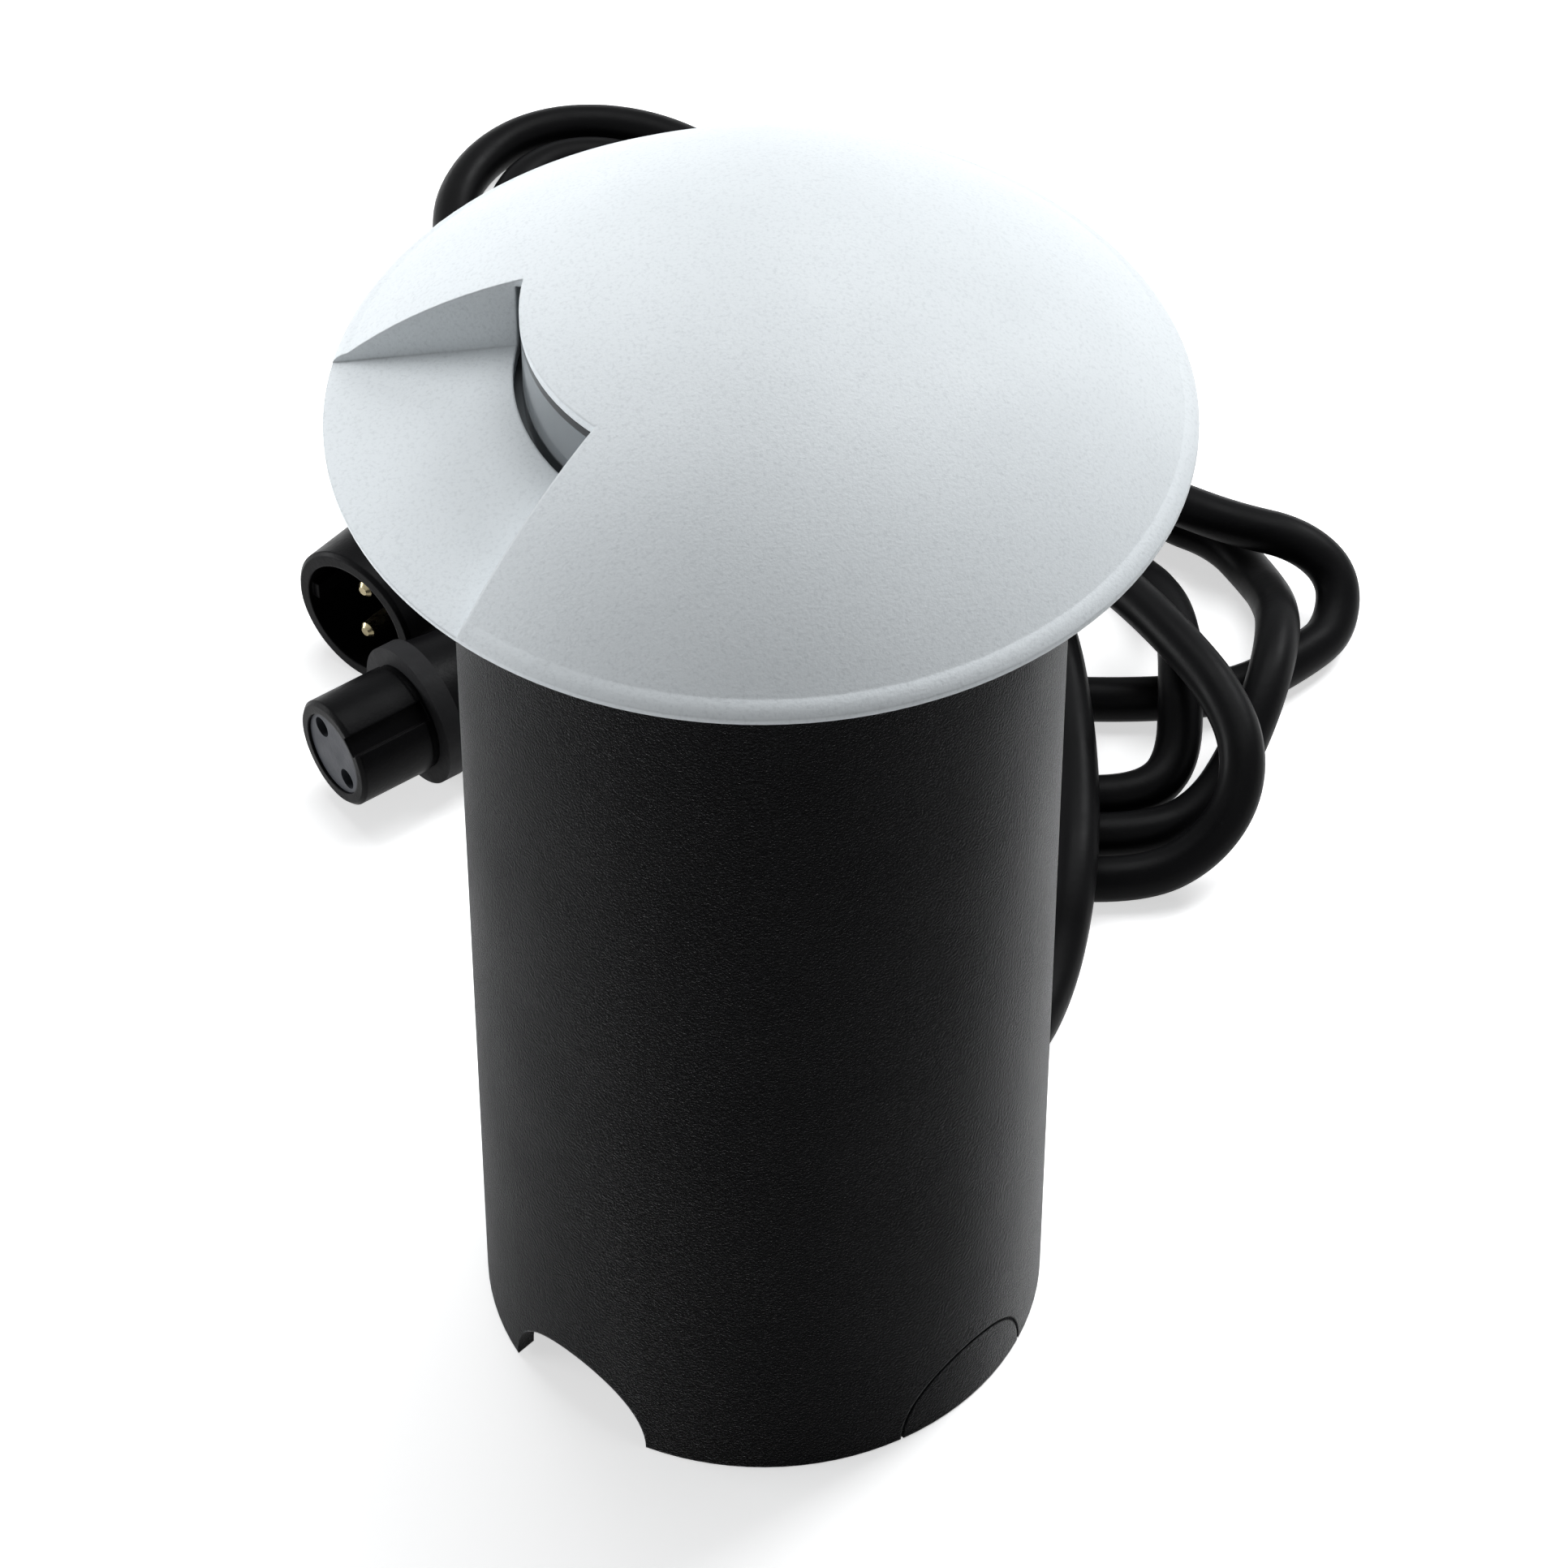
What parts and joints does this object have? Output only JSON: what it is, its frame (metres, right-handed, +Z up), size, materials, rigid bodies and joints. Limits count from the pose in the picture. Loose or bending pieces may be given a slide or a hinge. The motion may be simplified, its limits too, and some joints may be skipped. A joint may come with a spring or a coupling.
{
  "type": "in ground well light",
  "caption": "Round in-ground garden light: domed cap with one side window on a lamp that drops into a ground sleeve, with two connector leads.",
  "frame": {"origin": "centre of the ground sleeve's foot, on the surface it stands on", "axes": "+Z up along the sleeve and lamp, +X to the viewer's right and +Y away from the viewer of the picture"},
  "size_m": [0.1133, 0.2082, 0.1277],
  "materials": {
    "cap_white": "fine powder coat",
    "sleeve_black": "satin moulded",
    "lens_clear": "polished",
    "seal_black": "matt",
    "housing_black": "satin moulded",
    "spreader_metal": "turned",
    "board_white": "solder mask",
    "emitter_yellow": "phosphor",
    "reflector_silver": "bright metallised",
    "screw_steel": "bright",
    "board_green": "solder mask",
    "capacitor_black": "sleeved can",
    "inductor_dark": "varnished winding",
    "chip_black": "moulded",
    "wire_red": "insulated",
    "wire_black": "insulated",
    "cable_black": "satin jacket",
    "connector_black": "satin moulded",
    "connector_grey": "satin moulded",
    "contact_brass": "gold flash"
  },
  "bodies": {
    "sleeve": {"mounting_sleeve": "sleeve_black", "outlet_cable": "cable_black", "inlet_cable": "cable_black", "plug_shell": "connector_black", "plug_insert": "connector_grey", "plug_pins": "contact_brass", "plug_strain_relief": "connector_black", "socket_shell": "connector_black", "socket_insert": "connector_grey", "socket_contacts": "contact_brass", "socket_seal_ring": "seal_black", "socket_strain_relief": "connector_black"},
    "lamp": {"clear_lens": "lens_clear", "lens_gasket": "seal_black", "reflector_cone": "reflector_silver", "led_board": "board_white", "led_emitters": "emitter_yellow", "led_board_screws": "screw_steel", "heat_spreader": "spreader_metal", "lamp_housing": "housing_black", "cap_o_ring": "seal_black", "cap_retaining_ring": "screw_steel", "upper_grip_ring": "seal_black", "lower_grip_ring": "seal_black", "driver_board": "board_green", "driver_retaining_ring": "housing_black", "driver_capacitors": "capacitor_black", "driver_inductor": "inductor_dark", "driver_rectifier": "chip_black", "led_wire_positive": "wire_red", "led_wire_negative": "wire_black", "bottom_cover": "housing_black", "bottom_cover_seal": "seal_black", "bottom_cover_screws": "screw_steel", "outlet_gland_body": "housing_black", "outlet_gland_seal": "seal_black", "outlet_gland_nut": "housing_black", "outlet_lead_tail": "cable_black", "outlet_cores": "wire_red", "inlet_gland_body": "housing_black", "inlet_gland_seal": "seal_black", "inlet_gland_nut": "housing_black", "inlet_lead_tail": "cable_black", "inlet_cores": "wire_red"},
    "cap": {"cap": "cap_white"}
  },
  "joints": [
    {"name": "lamp_lift", "type": "slide", "parent": "sleeve", "child": "lamp", "axis": [0, 0, 1], "range_m": [0, 0.06]},
    {"name": "cap_turn", "type": "hinge", "parent": "lamp", "child": "cap", "pos_m": [0, 0, 0.105], "axis": [0, 0, 1], "continuous": true}
  ]
}
